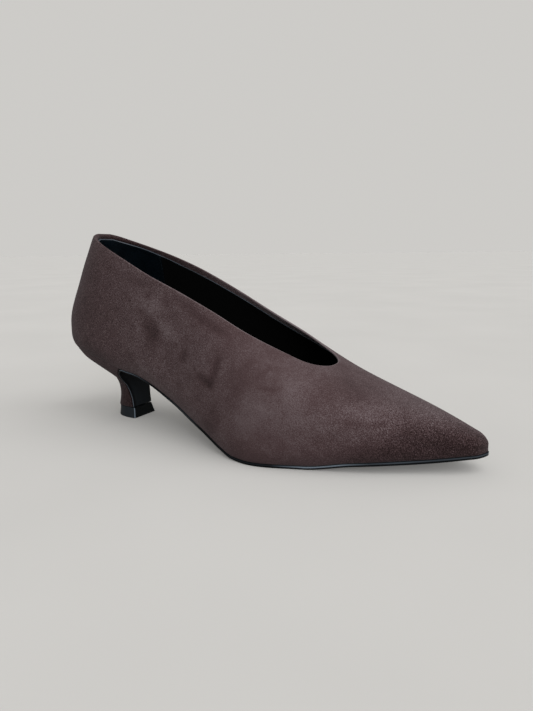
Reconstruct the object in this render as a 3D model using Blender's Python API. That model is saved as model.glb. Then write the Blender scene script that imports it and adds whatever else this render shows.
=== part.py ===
"""Pointed-toe kitten-heel pump: hollow upper, insole, outsole with breast flap, covered heel and top piece.

Lengths are worked out in millimetres in the last's own frame: s runs from the rearmost point of the back to
the toe tip, y is positive on the inner side of the foot, and z is height above the floor. The finished pieces
are set over the middle of the shoe's footprint.
"""
import bpy
import numpy as np

MM = 0.001

# Driving sizes of the last and the shoe
LENGTH = 262.0
BALL_WIDTH = 88.0
SEAT_HEIGHT = 45.0
INSTEP_HEIGHT = 50.0
BACK_TOP = 116.5

# Thicknesses and clearances
WALL = 1.8
RIM_CROWN = 0.6
INSOLE = 2.2
OUTSOLE = 1.6
FLAP = 1.2
GAP = 0.3
STACK = OUTSOLE + GAP
SOLE_EDGE = 0.4
HEEL_INSET = 0.4
ROW_CLEAR = 1.5

# Plan rounding of the back and of the nose, and the tuck under to the feather edge
BACK_ROUND = 58.0
BACK_POWER = 2.3
NOSE_ROUND = 11.0
NOSE_DROP = 0.22
TUCK_POWER = 2.6
TUCK_LEVELS = 0.35

# Length of last over which one section eases into the next, and the steps it is taken in
EASE = 9.0
EASE_STEPS = 5

# A row per section of the last: along in shares of the length; centre line, half width at the feather edge and
# bulge beyond it in shares of the ball width; height of the widest point above the feather edge and height of the
# ridge in shares of the instep height; lift of the feather edge above the tread in shares of the lift at the seat;
# power of the curve from the widest point over the ridge; outsole in shares of its full thickness.
SECTION_COLUMNS = ("name", "along", "centre", "feather", "bulge", "bulge_up", "ridge", "lift", "power", "sole")
SECTIONS = (
    ("back", 0.000, 0.000, 0.298, 0.058, 0.25, 2.70, 1.000, 2.1, 0.65),
    ("heel", 0.115, 0.000, 0.280, 0.058, 0.28, 2.64, 0.926, 2.1, 0.65),
    ("breast", 0.210, 0.000, 0.260, 0.068, 0.36, 2.60, 0.766, 2.1, 0.65),
    ("waist", 0.363, -0.016, 0.267, 0.080, 0.40, 2.40, 0.478, 2.1, 0.65),
    ("joint", 0.504, -0.022, 0.366, 0.062, 0.34, 1.70, 0.097, 2.2, 0.85),
    ("ball", 0.603, -0.006, 0.435, 0.051, 0.30, 1.29, 0.000, 2.3, 1.00),
    ("tread", 0.695, 0.010, 0.402, 0.048, 0.28, 0.970, 0.000, 2.7, 1.00),
    ("toes", 0.782, 0.036, 0.342, 0.040, 0.24, 0.755, 0.079, 2.7, 1.00),
    ("point", 0.916, 0.056, 0.172, 0.017, 0.16, 0.530, 0.160, 2.4, 1.00),
    ("tip", 1.000, 0.074, 0.058, 0.006, 0.08, 0.355, 0.200, 2.2, 1.00),
)

# Back seam in side view: share of the height from seat to collar, and set-in from the rearmost point
BACK_COLUMNS = ("up", "inset")
BACK_SEAM = (
    (0.00, 5.5),
    (0.05, 1.8),
    (0.11, 0.3),
    (0.22, 0.0),
    (0.60, 10.5),
    (1.00, 22.8),
)

# Collar line in side view: share of the way from the back to the throat, and share of the drop
THROAT_ALONG = 185.0
COLLAR_COLUMNS = ("along", "drop")
COLLAR = (
    (0.00, 0.000),
    (0.25, 0.196),
    (0.50, 0.446),
    (0.75, 0.722),
    (0.88, 0.870),
    (0.95, 0.952),
    (1.00, 1.000),
)

# Heel block: share of the height from its foot to the seat, place of the breast, and half width and depth in
# shares of the seat's own
HEEL_COLUMNS = ("up", "breast", "half", "depth")
HEEL_LEVELS = (
    (0.00, 47.9, 0.360, 0.330),
    (0.15, 47.5, 0.360, 0.292),
    (0.27, 47.0, 0.376, 0.272),
    (0.38, 46.3, 0.400, 0.265),
    (0.51, 45.6, 0.450, 0.280),
    (0.69, 46.2, 0.600, 0.400),
    (0.85, 48.4, 0.790, 0.650),
    (1.00, 53.2, 1.000, 1.000),
)

# Top piece under the heel, flaring to the floor, in the same columns
TIP_HEIGHT = 6.6
TIP_LEVELS = (
    (0.00, 50.9, 0.430, 0.400),
    (0.75, 49.8, 0.378, 0.368),
    (1.00, 49.4, 0.365, 0.362),
)

# Bend of the outsole into the flap over the heel breast
BEND_OUTER = 1.4
BEND_INNER = 2.4
BEND_STEPS = 5

# Mesh counts
BACK_RIBS = 9
SIDE_RIBS = 17
VAMP_RIBS = 13
NOSE_RIBS = 8
LEVELS = 13
SIDE_CLUSTER = 1.7
FLAP_ROWS = 9
SETTLE = 5

# Finishes: colour, roughness
SUEDE = ("brown_suede", "#43373A", 0.95)
SOCK = ("black_sock", "#101012", 0.60)
RUBBER = ("black_rubber", "#121214", 0.45)
COVER = ("brown_suede_cover", "#3F3335", 0.95)
TOP_LIFT = ("black_top_piece", "#18191B", 0.40)


def smooth(xs, ys, at):
    """Curve through a short table with no overshoot."""
    xs = np.asarray(xs, float)
    ys = np.asarray(ys, float)
    at = np.asarray(at, float)
    step = np.diff(xs)
    slope = np.diff(ys) / step
    tangent = np.zeros_like(ys)
    tangent[0] = slope[0]
    tangent[-1] = slope[-1]
    for k in range(1, len(xs) - 1):
        if slope[k - 1] * slope[k] > 0:
            before = 2 * step[k] + step[k - 1]
            after = step[k] + 2 * step[k - 1]
            tangent[k] = (before + after) / (before / slope[k - 1] + after / slope[k])
    i = np.clip(np.searchsorted(xs, at) - 1, 0, len(xs) - 2)
    t = (at - xs[i]) / step[i]
    return (
        (1 + 2 * t) * (1 - t) ** 2 * ys[i]
        + t * (1 - t) ** 2 * step[i] * tangent[i]
        + t * t * (3 - 2 * t) * ys[i + 1]
        + t * t * (t - 1) * step[i] * tangent[i + 1]
    )


def column(rows, names, name):
    return [row[names.index(name)] for row in rows]


def section(name, s):
    """A section's measure at a place along the last, in millimetres."""
    scale = {
        "centre": BALL_WIDTH,
        "feather": BALL_WIDTH,
        "bulge": BALL_WIDTH,
        "bulge_up": INSTEP_HEIGHT,
        "ridge": INSTEP_HEIGHT,
        "lift": SEAT_HEIGHT - STACK,
        "power": 1.0,
        "sole": OUTSOLE,
    }[name]
    along = column(SECTIONS, SECTION_COLUMNS, "along")
    values = column(SECTIONS, SECTION_COLUMNS, name)
    if name in ("lift", "sole"):
        return scale * smooth(along, values, np.asarray(s, float) / LENGTH)
    reach = np.minimum(EASE, np.clip(np.minimum(s, LENGTH - np.asarray(s, float)), 0, None))
    steps = np.linspace(-1, 1, EASE_STEPS)
    eased = sum(smooth(along, values, (s + reach * step) / LENGTH) for step in steps)
    return scale * eased / EASE_STEPS


def feather_height(s):
    return STACK + section("lift", s)


def back_seam(z):
    up = np.clip((z - SEAT_HEIGHT) / (BACK_TOP - SEAT_HEIGHT), 0, 1)
    return smooth(column(BACK_SEAM, BACK_COLUMNS, "up"), column(BACK_SEAM, BACK_COLUMNS, "inset"), up)


def collar(s):
    start = BACK_SEAM[-1][BACK_COLUMNS.index("inset")]
    share = np.clip((s - start) / (THROAT_ALONG - start), 0, 1)
    along = column(COLLAR, COLLAR_COLUMNS, "along")
    drop = smooth(along, column(COLLAR, COLLAR_COLUMNS, "drop"), share)
    return BACK_TOP + (section("ridge", THROAT_ALONG) - BACK_TOP) * drop


def half_width(s, z, top):
    """Half width of the upper: tucked under to the feather edge, bulging, then closing over to its top."""
    middle = feather_height(s) + section("bulge_up", s)
    rise = np.clip((z - middle) / (top - middle), 0, 1)
    tuck = np.clip((middle - z) / section("bulge_up", s), 0, 1)
    full = section("feather", s) + section("bulge", s)
    power = section("power", s)
    over = (1 - rise**power) ** (1 / power)
    return full * over - section("bulge", s) * tuck**TUCK_POWER


def back_rib(turn, share):
    """Rib of the rounded back; turn is a quarter circle at the seam and nothing at the side."""
    power = 2 / BACK_POWER
    inward = np.sin(turn) ** power
    outward = np.cos(turn) ** power

    def place(z):
        return BACK_ROUND - (BACK_ROUND - back_seam(z)) * inward

    low = SEAT_HEIGHT
    high = BACK_TOP
    for _ in range(SETTLE):
        low = feather_height(place(low))
        high = collar(place(high))
    z = low + (high - low) * share
    s = place(z)
    return s, half_width(s, z, section("ridge", s)) * outward, z


def cross_rib(s, share, nose_turn=0.0):
    """Rib straight across the shoe, closing at the ridge in front of the throat."""
    low = feather_height(s)
    middle = low + section("bulge_up", s)
    top = section("ridge", s)
    if nose_turn > 0:
        top = middle + (top - middle) * (NOSE_DROP + (1 - NOSE_DROP) * np.cos(nose_turn))
    end = min(collar(s), top) if s < THROAT_ALONG else top
    power = section("power", s)
    full_turn = np.arcsin(((end - middle) / (top - middle)) ** (power / 2))
    over = np.clip((share - TUCK_LEVELS) / (1 - TUCK_LEVELS), 0, 1)
    arch = middle + (top - middle) * np.sin(full_turn * over) ** (2 / power)
    z = np.where(share < TUCK_LEVELS, low + (middle - low) * share / TUCK_LEVELS, arch)
    along = np.full_like(z, s)
    return along, half_width(along, z, top) * np.cos(nose_turn), z


def upper_ribs():
    """Outer face of the upper as two grids of points, outer side and inner side, and the number of the throat rib."""
    share = np.linspace(0, 1, LEVELS)
    ribs = []
    for turn in np.linspace(np.pi / 2, 0, BACK_RIBS, endpoint=False):
        ribs.append(back_rib(turn, share))
    spread = 1 - (1 - np.linspace(0, 1, SIDE_RIBS)) ** SIDE_CLUSTER
    for s in BACK_ROUND + (THROAT_ALONG - BACK_ROUND) * spread:
        ribs.append(cross_rib(s, share))
    throat = len(ribs) - 1
    for s in np.linspace(THROAT_ALONG, LENGTH - NOSE_ROUND, VAMP_RIBS)[1:]:
        ribs.append(cross_rib(s, share))
    for turn in np.linspace(0, np.pi / 2, NOSE_RIBS)[1:]:
        ribs.append(cross_rib(LENGTH - NOSE_ROUND * (1 - np.sin(turn)), share, turn))
    s, width, z = (np.array([rib[k] for rib in ribs]) for k in range(3))
    centre = section("centre", s)
    outer_side = np.stack([s, centre - width, z], -1)
    inner_side = np.stack([s, centre + width, z], -1)
    return outer_side, inner_side, throat


def weld(outer_side, inner_side, throat):
    """Joins the two grids along the back seam, the nose and the ridge; gives points, faces and both index grids."""
    count, levels = outer_side.shape[:2]
    points = []
    outer_ids = np.zeros((count, levels), int)
    inner_ids = np.zeros((count, levels), int)
    for i in range(count):
        for j in range(levels):
            outer_ids[i, j] = len(points)
            points.append(outer_side[i, j])
            shared = i in (0, count - 1) or (i >= throat and j == levels - 1)
            inner_ids[i, j] = outer_ids[i, j]
            if not shared:
                inner_ids[i, j] = len(points)
                points.append(inner_side[i, j])
    faces = []
    for i in range(count - 1):
        for j in range(levels - 1):
            a, b = outer_ids[i, j], outer_ids[i + 1, j]
            c, d = outer_ids[i + 1, j + 1], outer_ids[i, j + 1]
            faces.append((a, b, c, d))
            a, b = inner_ids[i, j], inner_ids[i + 1, j]
            c, d = inner_ids[i + 1, j + 1], inner_ids[i, j + 1]
            faces.append((d, c, b, a))
    return np.array(points), faces, outer_ids, inner_ids


def point_normals(points, faces):
    normals = np.zeros_like(points)
    for face in faces:
        corners = points[list(face)]
        area = np.cross(corners[2] - corners[0], corners[3] - corners[1])
        for corner in face:
            normals[corner] += area
    return normals / np.linalg.norm(normals, axis=1, keepdims=True)


def ring_faces(lower, upper):
    """Band of quads between two closed rings of point numbers."""
    count = len(lower)
    return [
        (lower[k], lower[(k + 1) % count], upper[(k + 1) % count], upper[k])
        for k in range(count)
    ]


def upper_piece():
    """Hollow shell: outer face, inner face one wall inside it, crowned collar rim and flat feather edge."""
    outer_side, inner_side, throat = upper_ribs()
    points, faces, outer_ids, inner_ids = weld(outer_side, inner_side, throat)
    normals = point_normals(points, faces)
    inside = points - WALL * normals
    count, top = outer_ids.shape[0], outer_ids.shape[1] - 1
    feather = [outer_ids[i, 0] for i in range(count)]
    feather += [inner_ids[i, 0] for i in range(count - 2, 0, -1)]
    inside[feather, 2] = points[feather, 2]
    mouth = [outer_ids[i, top] for i in range(throat + 1)]
    mouth += [inner_ids[i, top] for i in range(throat - 1, 0, -1)]
    along = points[np.roll(mouth, -1)] - points[np.roll(mouth, 1)]
    upward = np.cross(normals[mouth], along)
    upward /= np.linalg.norm(upward, axis=1, keepdims=True)
    crown = (points[mouth] + inside[mouth]) / 2 + RIM_CROWN * upward
    shift = len(points)
    crown_ids = list(range(2 * shift, 2 * shift + len(mouth)))
    lining = [tuple(shift + k for k in reversed(face)) for face in faces]
    feather_inside = [shift + k for k in feather]
    mouth_inside = [shift + k for k in mouth]
    rims = ring_faces(feather_inside, feather)
    rims += ring_faces(mouth, crown_ids)
    rims += ring_faces(crown_ids, mouth_inside)
    whole = np.concatenate([points, inside, crown])
    edge = inside[feather]
    return whole, faces + lining + rims, edge


def draw_in(outline, amount):
    """Moves a closed plan outline inwards, or outwards for a negative amount."""
    ahead = np.roll(outline, -1, 0) - outline
    behind = outline - np.roll(outline, 1, 0)
    run = ahead[:, :2] / np.linalg.norm(ahead[:, :2], axis=1, keepdims=True)
    run = run + behind[:, :2] / np.linalg.norm(behind[:, :2], axis=1, keepdims=True)
    run /= np.linalg.norm(run, axis=1, keepdims=True)
    moved = outline[:, :2] + amount * np.stack([-run[:, 1], run[:, 0]], -1)
    return moved


def plate(rows_low, rows_high):
    """Solid sheet from rows of two points across it, below and above."""
    count = len(rows_low)
    points = [point for row in rows_low for point in row]
    points += [point for row in rows_high for point in row]
    shift = 2 * count
    faces = []
    for k in range(count - 1):
        a, b, c, d = 2 * k, 2 * k + 1, 2 * k + 3, 2 * k + 2
        faces.append((a, b, c, d))
        faces.append((shift + d, shift + c, shift + b, shift + a))
        faces.append((a, d, shift + d, shift + a))
        faces.append((c, b, shift + b, shift + c))
    last = 2 * count - 2
    faces.append((1, 0, shift, shift + 1))
    faces.append((last, last + 1, shift + last + 1, shift + last))
    return np.array(points), faces


def insole_piece(edge):
    """Board inside the upper, resting on the line of the feather edge."""
    outline = draw_in(edge, GAP)
    count = len(edge) // 2 + 1
    rows_low, rows_high = [], []
    for i in range(1, count - 1):
        other = len(edge) - i
        s = (outline[i, 0] + outline[other, 0]) / 2
        low = feather_height(s)
        pair = [(s, outline[i, 1], low), (s, outline[other, 1], low)]
        rows_low.append(pair)
        rows_high.append([(x, y, z + INSOLE) for x, y, z in pair])
    return plate(rows_low, rows_high)


def feather_outline():
    """Plan outline of the feather edge, round the outer side from back to nose and home on the inner side."""
    outer_side, inner_side, _ = upper_ribs()
    return np.concatenate([outer_side[:, 0], inner_side[-2:0:-1, 0]])


def heel_measure(name, up):
    return smooth(column(HEEL_LEVELS, HEEL_COLUMNS, "up"), column(HEEL_LEVELS, HEEL_COLUMNS, name), up)


def outsole_piece():
    """Sheet from the toe tip back to the heel breast, bent down over the breast as a flap."""
    outline = feather_outline()
    grown = draw_in(outline, -SOLE_EDGE)
    count = len(outline) // 2 + 1
    breast = HEEL_LEVELS[-1][HEEL_COLUMNS.index("breast")] + GAP
    rows_top, rows_under = [], []

    def add_row(top_point, under_point, centre, half):
        rows_top.append([(top_point[0], centre - half, top_point[1]), (top_point[0], centre + half, top_point[1])])
        rows_under.append(
            [(under_point[0], centre - half, under_point[1]), (under_point[0], centre + half, under_point[1])]
        )

    fall = feather_height(breast - ROW_CLEAR) - feather_height(breast + ROW_CLEAR)
    tilt = np.arctan2(fall, 2 * ROW_CLEAR)
    outer_x = breast + BEND_OUTER
    inner_x = breast + FLAP + BEND_INNER
    outer_z = feather_height(outer_x + BEND_OUTER * np.sin(tilt)) - GAP - BEND_OUTER * np.cos(tilt)
    start = inner_x + BEND_INNER * np.sin(tilt)
    inner_z = feather_height(start) - GAP - section("sole", breast) - BEND_INNER * np.cos(tilt)
    foot = TIP_HEIGHT + GAP
    seat = feather_height(breast) - GAP
    seat_half = section("feather", breast)
    centre = section("centre", breast)

    def heel_half(z):
        return seat_half * heel_measure("half", np.clip((z - foot) / (seat - foot), 0, 1))

    for i in range(count - 2, 0, -1):
        other = len(outline) - i
        s = (grown[i, 0] + grown[other, 0]) / 2
        if s < start + ROW_CLEAR:
            continue
        z = feather_height(min(s, LENGTH)) - GAP
        half = (grown[other, 1] - grown[i, 1]) / 2
        add_row((s, z), (s, z - section("sole", min(s, LENGTH))), (grown[other, 1] + grown[i, 1]) / 2, half)
    for turn in np.linspace(np.pi / 2 - tilt, np.pi, BEND_STEPS):
        arm = np.array([np.cos(turn), np.sin(turn)])
        top_point = np.array([outer_x, outer_z]) + BEND_OUTER * arm
        under_point = np.array([inner_x, inner_z]) + BEND_INNER * arm
        add_row(top_point, under_point, centre, heel_half(top_point[1]))
    for z in np.linspace(inner_z, foot, FLAP_ROWS + 1)[1:]:
        s = heel_measure("breast", (z - foot) / (seat - foot)) + GAP
        add_row((s, z), (s + FLAP, z), centre, heel_half(z))
    points, faces = plate(rows_under, rows_top)
    return points, [tuple(reversed(face)) for face in faces]


def seat_outline():
    """Places along and half widths of the seat's outline from the back to the breast, and its centre line."""
    top_breast = HEEL_LEVELS[-1][HEEL_COLUMNS.index("breast")]
    outline = feather_outline()
    inner = draw_in(outline, HEEL_INSET)
    count = len(outline) // 2 + 1
    along = [inner[0, 0]]
    width = [0.0]
    for i in range(1, count):
        other = len(outline) - i
        if inner[i, 0] > top_breast - ROW_CLEAR:
            break
        along.append(inner[i, 0])
        width.append((inner[other, 1] - inner[i, 1]) / 2)
    along.append(top_breast)
    width.append(section("feather", top_breast) - HEEL_INSET)
    return np.array(along), np.array(width)


def heel_rings(levels, bottom, top_of):
    """Rings of a heel level table: the seat's outline shrunk level by level, from a flat foot to a given top."""
    along, width = seat_outline()
    seat_breast = along[-1]
    centre = section("centre", seat_breast)
    rings = []
    for row in levels:
        up, breast, half, depth = (row[HEEL_COLUMNS.index(name)] for name in HEEL_COLUMNS)
        s = breast - depth * (seat_breast - along)
        w = half * width
        z = bottom + (top_of(along) - bottom) * up
        outer_half = np.stack([s, centre - w, z], -1)[::-1]
        inner_half = np.stack([s, centre + w, z], -1)
        rings.append(np.concatenate([outer_half, inner_half[1:]]))
    return rings


def heel_piece():
    """Block under the seat sweeping to a slim neck, flat at the breast."""
    return rings_solid(heel_rings(HEEL_LEVELS, TIP_HEIGHT + GAP, lambda s: feather_height(s) - GAP))


def tip_piece():
    """Small top piece under the heel, flaring to the floor."""
    return rings_solid(heel_rings(TIP_LEVELS, 0.0, lambda s: np.full_like(s, TIP_HEIGHT)))


def rings_solid(rings):
    """Closed solid through rings that run from the near breast corner round the back to the far one."""
    count = len(rings[0])
    points = np.concatenate(rings)
    faces = []
    for level in range(len(rings) - 1):
        low = [level * count + k for k in range(count)]
        high = [(level + 1) * count + k for k in range(count)]
        faces += [tuple(reversed(face)) for face in ring_faces(low, high)]
    top = (len(rings) - 1) * count
    middle = count // 2
    for k in range(middle):
        a, b, c, d = k, k + 1, count - 2 - k, count - 1 - k
        loop = (a, b, c, d) if b != c else (a, b, d)
        faces.append(loop)
        faces.append(tuple(top + n for n in reversed(loop)))
    return points, faces


def linear(hex_colour):
    channels = [int(hex_colour[k : k + 2], 16) / 255 for k in (1, 3, 5)]
    return [c / 12.92 if c <= 0.04045 else ((c + 0.055) / 1.055) ** 2.4 for c in channels] + [1.0]


def finish(name, colour, roughness):
    material = bpy.data.materials.new(name)
    material.use_nodes = True
    shader = material.node_tree.nodes["Principled BSDF"]
    shader.inputs["Base Color"].default_value = linear(colour)
    shader.inputs["Roughness"].default_value = roughness
    shader.inputs["Metallic"].default_value = 0.0
    return material


def add_piece(name, points, faces, material):
    mesh = bpy.data.meshes.new(name)
    mesh.from_pydata((points * MM).tolist(), [], [tuple(int(k) for k in face) for face in faces])
    mesh.materials.append(material)
    piece = bpy.data.objects.new(name, mesh)
    bpy.context.scene.collection.objects.link(piece)


def build():
    for old in list(bpy.data.objects):
        bpy.data.objects.remove(old)
    points, faces, edge = upper_piece()
    pieces = {
        "upper": (points, faces, SUEDE),
        "insole": (*insole_piece(edge), SOCK),
        "outsole": (*outsole_piece(), RUBBER),
        "heel": (*heel_piece(), COVER),
        "heel_tip": (*tip_piece(), TOP_LIFT),
    }
    everything = np.concatenate([piece[0] for piece in pieces.values()])
    middle = (everything.min(0) + everything.max(0)) / 2
    middle[2] = 0.0
    for name, (points, faces, look) in pieces.items():
        add_piece(name, points - middle, faces, finish(*look))


build()
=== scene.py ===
"""Looks of a pointed-toe kitten-heel pump in dark brown faux suede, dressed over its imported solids.

Lengths of the shoe are in millimetres in the last's own frame: s runs from the back to the toe tip, y is
positive on the inner side of the foot, and z is height above the floor. placed() turns them into metres in
the row's frame.
"""
import math

import bmesh
import bpy
import numpy as np
from bpy.props import FloatProperty, FloatVectorProperty, PointerProperty
from mathutils import Matrix, Vector


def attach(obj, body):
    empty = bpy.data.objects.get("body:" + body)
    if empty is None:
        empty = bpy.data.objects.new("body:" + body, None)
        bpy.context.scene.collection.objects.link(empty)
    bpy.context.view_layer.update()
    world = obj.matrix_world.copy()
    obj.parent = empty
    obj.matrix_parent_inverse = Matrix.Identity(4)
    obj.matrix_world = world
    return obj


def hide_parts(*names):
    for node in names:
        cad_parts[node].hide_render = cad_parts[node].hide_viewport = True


bl_info = {
    "name": "Pointed-toe pump",
    "version": (1, 0, 0),
    "blender": (4, 5, 0),
    "location": "3D View > Sidebar > Pump",
    "description": "Builds the suede, lining, sole, heel and studio of a pointed-toe kitten-heel pump",
    "category": "Add Mesh",
}

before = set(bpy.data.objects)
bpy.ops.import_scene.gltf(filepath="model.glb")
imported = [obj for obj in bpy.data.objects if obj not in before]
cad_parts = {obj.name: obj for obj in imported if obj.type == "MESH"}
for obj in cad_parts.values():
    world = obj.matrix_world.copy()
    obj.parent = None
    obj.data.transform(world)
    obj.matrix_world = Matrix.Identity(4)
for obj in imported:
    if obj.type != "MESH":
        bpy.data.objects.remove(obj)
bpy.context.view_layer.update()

MM = 0.001

# The row's origin in the last's frame
ROW_ORIGIN = np.array([131.087, -0.491, 0.0])

# Driving sizes of the last, close to the solids' own
LENGTH = 262.0
BALL_WIDTH = 88.0
SEAT_HEIGHT = 45.0
INSTEP_HEIGHT = 50.0
BACK_TOP = 118.5

# Thicknesses and gaps of the sheets and the heel
OUTSOLE = 1.6
FLAP = 1.2
FLAP_CLEAR = 0.7
INSOLE = 2.2
GAP = 0.3
GLUE_LINE = 0.05
STACK = OUTSOLE + GAP
SOLE_EDGE = 0.4
HEEL_INSET = 0.1
ROW_CLEAR = 1.5

# Rounded edges of the sole and the sock, the most of a half width that they take, the mark of points away
# from them, and the sock's crown and least half width
SOLE_BEAD = 0.6
SOCK_BEAD = 0.8
BEAD_MOST = 0.6
AWAY_FROM_EDGE = -9.0
SOCK_CROWN = 0.3
SOCK_LEAST = 1.5

# Roundings of the back, the nose and the tuck, and how far sections ease into one another
BACK_ROUND = 58.0
BACK_POWER = 2.3
NOSE_ROUND = 4.9
NOSE_DROP = 0.07
TUCK_POWER = 2.6
TUCK_LEVELS = 0.35
EASE = 9.0
EASE_STEPS = 5
SETTLE = 5

# A row per section of the last: along in shares of the length; centre line, half width at the feather edge
# and bulge beyond it in shares of the ball width; height of the widest point above the feather edge and
# height of the ridge in shares of the instep height; power of the curve from the widest point over the ridge
SECTION_COLUMNS = ("name", "along", "centre", "feather", "bulge", "bulge_up", "ridge", "power")
SECTIONS = (
    ("back", 0.000, 0.000, 0.300, 0.058, 0.25, 2.70, 2.1),
    ("heel", 0.115, 0.000, 0.281, 0.058, 0.28, 2.64, 2.1),
    ("breast", 0.210, 0.000, 0.260, 0.068, 0.36, 2.60, 2.1),
    ("waist", 0.363, -0.016, 0.267, 0.080, 0.40, 2.40, 2.1),
    ("joint", 0.504, -0.022, 0.388, 0.040, 0.34, 1.70, 2.2),
    ("ball", 0.603, -0.006, 0.468, 0.020, 0.30, 1.29, 2.3),
    ("tread", 0.695, 0.010, 0.388, 0.062, 0.28, 0.970, 2.7),
    ("toes", 0.782, 0.036, 0.342, 0.040, 0.24, 0.755, 2.7),
    ("point", 0.916, 0.056, 0.172, 0.017, 0.16, 0.529, 2.4),
    ("tip", 1.000, 0.074, 0.058, 0.006, 0.063, 0.337, 2.2),
)

# Sole line in side view: along in shares of the length, lift of the feather edge above the tread in shares of
# the lift at the seat, and outsole in shares of its full thickness
SOLE_COLUMNS = ("along", "lift", "sole")
SOLE_LINE = (
    (0.000, 1.000, 0.65),
    (0.115, 0.926, 0.65),
    (0.210, 0.780, 0.65),
    (0.250, 0.742, 0.65),
    (0.290, 0.668, 0.65),
    (0.363, 0.467, 0.90),
    (0.420, 0.308, 1.00),
    (0.475, 0.190, 0.95),
    (0.520, 0.080, 0.92),
    (0.555, 0.014, 0.95),
    (0.603, 0.000, 1.00),
    (0.695, 0.000, 1.00),
    (0.782, 0.076, 1.05),
    (0.916, 0.144, 1.15),
    (1.000, 0.200, 1.00),
)

# Back seam in side view: share of the height from seat to collar, and set-in from the rearmost point
BACK_COLUMNS = ("up", "inset")
BACK_SEAM = ((0.00, 2.2), (0.05, 0.1), (0.11, -0.6), (0.22, -0.4), (0.60, 10.5), (1.00, 22.8))
COLLAR_START = BACK_SEAM[-1][BACK_COLUMNS.index("inset")]

# Collar line in side view: share of the way from the back to the throat, and share of the drop on either side
THROAT_ALONG = 185.0
COLLAR_COLUMNS = ("along", "outer", "inner")
COLLAR = (
    (0.00, 0.000, 0.000),
    (0.06, 0.053, 0.058),
    (0.14, 0.131, 0.126),
    (0.25, 0.240, 0.212),
    (0.38, 0.366, 0.326),
    (0.50, 0.471, 0.453),
    (0.63, 0.598, 0.604),
    (0.75, 0.738, 0.737),
    (0.88, 0.879, 0.873),
    (0.95, 0.955, 0.953),
    (1.00, 1.000, 1.000),
)

# Turned-in suede above the lining: share of the way from back to throat, and how much wider it shows there;
# then the width from which a band counts as turned in
TURNED = (
    (0.00, -1.4),
    (0.10, -0.7),
    (0.20, 0.4),
    (0.30, 1.5),
    (0.42, 1.8),
    (0.60, 1.8),
    (0.75, 2.5),
    (0.88, 3.0),
    (1.00, 0.0),
)
TURNED_FROM = 1.0

# Padding inside the collar round the back: thickness, reach along the shoe and down from the top, and the
# share of it that swells outwards
PAD = 2.0
PAD_ALONG = 16.0
PAD_DOWN = 14.0
PAD_OUTWARD = 0.25

# Heel block and its top piece: share of the height, place of the breast, and half width and depth in shares
# of the seat's own; then the bevel of the top piece, as a share of its height and as a size
HEEL_COLUMNS = ("up", "breast", "half", "depth")
HEEL_LEVELS = (
    (0.00, 47.9, 0.360, 0.323),
    (0.15, 47.5, 0.360, 0.286),
    (0.27, 47.0, 0.376, 0.264),
    (0.38, 46.3, 0.400, 0.255),
    (0.51, 45.6, 0.455, 0.276),
    (0.60, 45.7, 0.550, 0.370),
    (0.69, 46.1, 0.665, 0.500),
    (0.78, 47.0, 0.772, 0.655),
    (0.87, 48.6, 0.870, 0.820),
    (1.00, 52.9, 1.000, 1.000),
)
SEAT_BREAST = HEEL_LEVELS[-1][HEEL_COLUMNS.index("breast")]
TIP_HEIGHT = 6.6
TIP_LEVELS = ((0.00, 50.9, 0.430, 0.380), (0.75, 49.8, 0.378, 0.350), (1.00, 49.4, 0.365, 0.344))
TIP_BEVEL = 0.06
TIP_PINCH = 0.35

# Bend of the outsole into its flap: reach, tightness on the upper face, and rows of points
BEND = 2.3
BEND_TIGHT = 3.0
BEND_ROWS = 16
FLAP_ROWS = 40

# Tone of the suede: where it starts, and the shares in it of grain, strokes, clouds and placed shades; then
# size and rareness of the lint, as shares of its cells
TONE_START = 0.222
GRAIN_SHARE = 1.25
STROKE_SHARE = 0.32
CLOUD_SHARE = 0.26
NAP_SHARE = 0.3
LINT_SIZE = 0.032
LINT_RARE = 0.72

# Strength of the suede's grain by place along the shoe, and on the heel
GRAIN = (
    (0, 1.4),
    (50, 1.3),
    (90, 1.2),
    (130, 0.8),
    (160, 0.38),
    (180, 0.52),
    (210, 1.0),
    (240, 1.8),
    (262, 1.8),
)
HEEL_GRAIN = 1.3

# Light caught by the rounded edge of the sole, by place along it, and by the edge of its flap, by height;
# then by the face of the flap, with the height where that ends and the reach over which it fades
SOLE_SHINE = (
    (55, 0.50),
    (64, 0.40),
    (72, 0.15),
    (80, 0.03),
    (88, 0.05),
    (97, 0.15),
    (112, 0.15),
    (120, 0.03),
    (168, 0.03),
    (177, 0.40),
    (184, 0.80),
    (199, 0.70),
    (206, 0.35),
    (213, 0.14),
    (226, 0.18),
    (240, 0.12),
    (262, 0.14),
)
FLAP_SHINE = ((6, 0.75), (11, 0.65), (19, 0.48), (26, 0.30), (31, 0.10), (36, 0.00))
FLAP_FACE = 0.03
FLAP_FACE_TOP = 32.0
FLAP_FACE_FADE = 12.0

# Bright line on a rounded edge: share of the way down it, and half the line's width
SOLE_GLINT = (0.18, 0.16)
FLAP_GLINT = (0.30, 0.30)

# Light caught by the top piece: by its sides, and by the turn of its breast corners
TIP_SHINE = 0.05
TIP_CORNER_SHINE = (0.4, 0.75, 0.4)

# Shade laid into the nap by place along the shoe. On the turned-in edge it is painted shade round the back,
# where the edge faces into the shoe, growing lighter towards the throat; on the rolled fold of the collar
# edge itself it is a painted highlight, darker round the back; and in a low band over the sole it is painted
# shade, where the side turns down, with the reach of that band
TURNED_SHADE = ((20, -1.5), (50, -0.9), (95, 0.2), (116, 0.5), (126, 0.9), (136, 1.7), (150, 2.2), (185, 2.2))
RIM_PAINTED_LIGHT = ((20, -0.3), (50, 0.2), (85, 0.8), (125, 0.9), (150, 1.7), (185, 1.2))
HEM_SHADE = ((0, -0.35), (60, -0.25), (85, 0.0), (120, -0.03), (150, -0.35), (262, -0.35))
HEM_REACH = 7.0

# Shade of the nap in a narrow band under the collar, and the reach of that band
EDGE_SHADE = 0.08
EDGE_REACH = 3.5
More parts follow.
